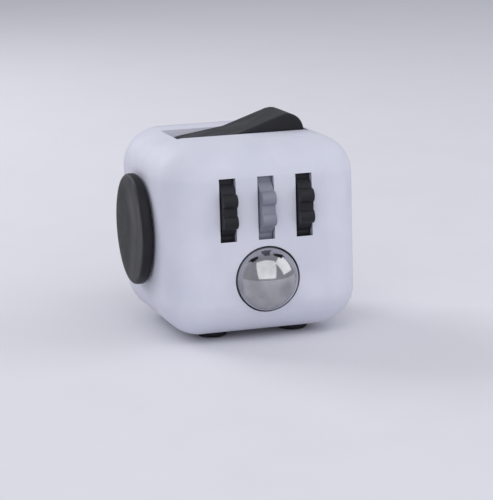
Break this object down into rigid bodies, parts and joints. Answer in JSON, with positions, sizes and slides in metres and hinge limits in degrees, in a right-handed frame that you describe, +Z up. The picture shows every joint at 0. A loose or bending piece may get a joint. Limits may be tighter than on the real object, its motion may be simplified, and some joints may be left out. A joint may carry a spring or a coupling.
{
  "type": "fidget cube",
  "caption": "Palm-sized rounded plastic cube with a different finger toy on each face: thumb gears and rolling ball, glide pad, rocker, worry dish, push buttons, dial.",
  "frame": {"origin": "Under the middle of the cube, on the plane that the tips of the five bottom buttons stand on.", "axes": "+Z up. The face with the gears and the ball looks along -Y, the glide pad along -X, the worry dish along +X and the dial along +Y."},
  "size_m": [0.0352, 0.0394, 0.0356],
  "materials": {
    "shell_plastic": "fine matte moulded finish",
    "inner_plastic": "plain moulded",
    "slide_plastic": "smooth natural acetal",
    "black_plastic": "fine matte moulded finish",
    "grey_plastic": "fine matte moulded finish",
    "screw_steel": "zinc plated",
    "pin_steel": "ground",
    "spring_steel": "tempered",
    "dome_brass": "plated",
    "soft_rubber": "soft",
    "board_laminate": "glass-filled laminate",
    "ball_chrome": "polished"
  },
  "bodies": {
    "shell": {"main_shell": "shell_plastic", "rear_cover": "shell_plastic", "core_frame": "inner_plastic", "core_screws": "screw_steel", "cover_screws": "screw_steel", "gear_bracket": "inner_plastic", "gear_bracket_screws": "screw_steel", "gear_axle": "pin_steel", "gear_spacers": "slide_plastic", "gear_click_spring": "spring_steel", "ball_guide": "inner_plastic", "ball_spring": "spring_steel", "ball_snap_dome": "dome_brass", "ball_switch_base": "board_laminate", "glide_housing": "inner_plastic", "glide_return_ring": "soft_rubber", "glide_housing_screws": "screw_steel", "rocker_pin": "pin_steel", "rocker_frame": "inner_plastic", "rocker_detent_spring": "spring_steel", "rocker_frame_screws": "screw_steel", "front_left_dome": "dome_brass", "front_right_dome": "dome_brass", "centre_dome": "dome_brass", "rear_left_pad": "soft_rubber", "rear_right_pad": "soft_rubber", "click_board": "board_laminate", "board_screws": "screw_steel", "dial_click_spring": "spring_steel"},
    "left_gear": {"left_gear": "black_plastic"},
    "middle_gear": {"middle_gear": "grey_plastic"},
    "right_gear": {"right_gear": "black_plastic"},
    "ball_plunger": {"ball_plunger": "inner_plastic"},
    "ball_cup": {"ball_cup": "slide_plastic"},
    "roller_ball": {"roller_ball": "ball_chrome"},
    "glide_carriage": {"glide_carriage": "slide_plastic"},
    "glide_pad": {"glide_cap": "black_plastic", "glide_skirt": "black_plastic", "glide_foot": "inner_plastic", "glide_screw": "screw_steel"},
    "rocker": {"rocker": "black_plastic"},
    "dial": {"dial": "black_plastic", "dial_ratchet": "slide_plastic", "dial_washer": "screw_steel", "dial_screw": "screw_steel"},
    "front_left_button": {"front_left_button": "black_plastic"},
    "front_right_button": {"front_right_button": "black_plastic"},
    "centre_button": {"centre_button": "black_plastic"},
    "rear_left_button": {"rear_left_button": "grey_plastic"},
    "rear_right_button": {"rear_right_button": "grey_plastic"}
  },
  "joints": [
    {"name": "left_gear_spin", "type": "hinge", "parent": "shell", "child": "left_gear", "pos_m": [0, -0.0128, 0.0223], "axis": [1, 0, 0], "continuous": true},
    {"name": "middle_gear_spin", "type": "hinge", "parent": "shell", "child": "middle_gear", "pos_m": [0, -0.0128, 0.0223], "axis": [1, 0, 0], "continuous": true},
    {"name": "right_gear_spin", "type": "hinge", "parent": "shell", "child": "right_gear", "pos_m": [0, -0.0128, 0.0223], "axis": [1, 0, 0], "continuous": true},
    {"name": "ball_press", "type": "slide", "parent": "shell", "child": "ball_plunger", "axis": [0, 1, 0], "range_m": [0, 0.0008], "stiffness_N_per_m": 800, "deforming": ["ball_spring", "ball_snap_dome"]},
    {"name": "ball_cup_swivel", "type": "hinge", "parent": "ball_plunger", "child": "ball_cup", "pos_m": [0, -0.01487, 0.01065], "axis": [0, 1, 0], "continuous": true},
    {"name": "ball_roll", "type": "hinge", "parent": "ball_cup", "child": "roller_ball", "pos_m": [0, -0.01487, 0.01065], "axis": [1, 0, 0], "continuous": true},
    {"name": "glide_up_down", "type": "slide", "parent": "shell", "child": "glide_carriage", "axis": [0, 0, 1], "range_m": [-0.0015, 0.0015], "stiffness_N_per_m": 250},
    {"name": "glide_fore_aft", "type": "slide", "parent": "glide_carriage", "child": "glide_pad", "axis": [0, 1, 0], "range_m": [-0.0015, 0.0015], "stiffness_N_per_m": 250},
    {"name": "rocker_tilt", "type": "hinge", "parent": "shell", "child": "rocker", "pos_m": [0, 0, 0.0302], "axis": [0, 1, 0], "range_deg": [0, 27]},
    {"name": "dial_spin", "type": "hinge", "parent": "shell", "child": "dial", "pos_m": [0, 0.0165, 0.017], "axis": [0, 1, 0], "continuous": true},
    {"name": "front_left_button_press", "type": "slide", "parent": "shell", "child": "front_left_button", "axis": [0, 0, 1], "range_m": [0, 0.0006], "stiffness_N_per_m": 1500, "deforming": ["front_left_dome"]},
    {"name": "front_right_button_press", "type": "slide", "parent": "shell", "child": "front_right_button", "axis": [0, 0, 1], "range_m": [0, 0.0006], "stiffness_N_per_m": 1500, "deforming": ["front_right_dome"]},
    {"name": "centre_button_press", "type": "slide", "parent": "shell", "child": "centre_button", "axis": [0, 0, 1], "range_m": [0, 0.0006], "stiffness_N_per_m": 1500, "deforming": ["centre_dome"]},
    {"name": "rear_left_button_press", "type": "slide", "parent": "shell", "child": "rear_left_button", "axis": [0, 0, 1], "range_m": [0, 0.0006], "stiffness_N_per_m": 1500, "deforming": ["rear_left_pad"]},
    {"name": "rear_right_button_press", "type": "slide", "parent": "shell", "child": "rear_right_button", "axis": [0, 0, 1], "range_m": [0, 0.0006], "stiffness_N_per_m": 1500, "deforming": ["rear_right_pad"]}
  ]
}
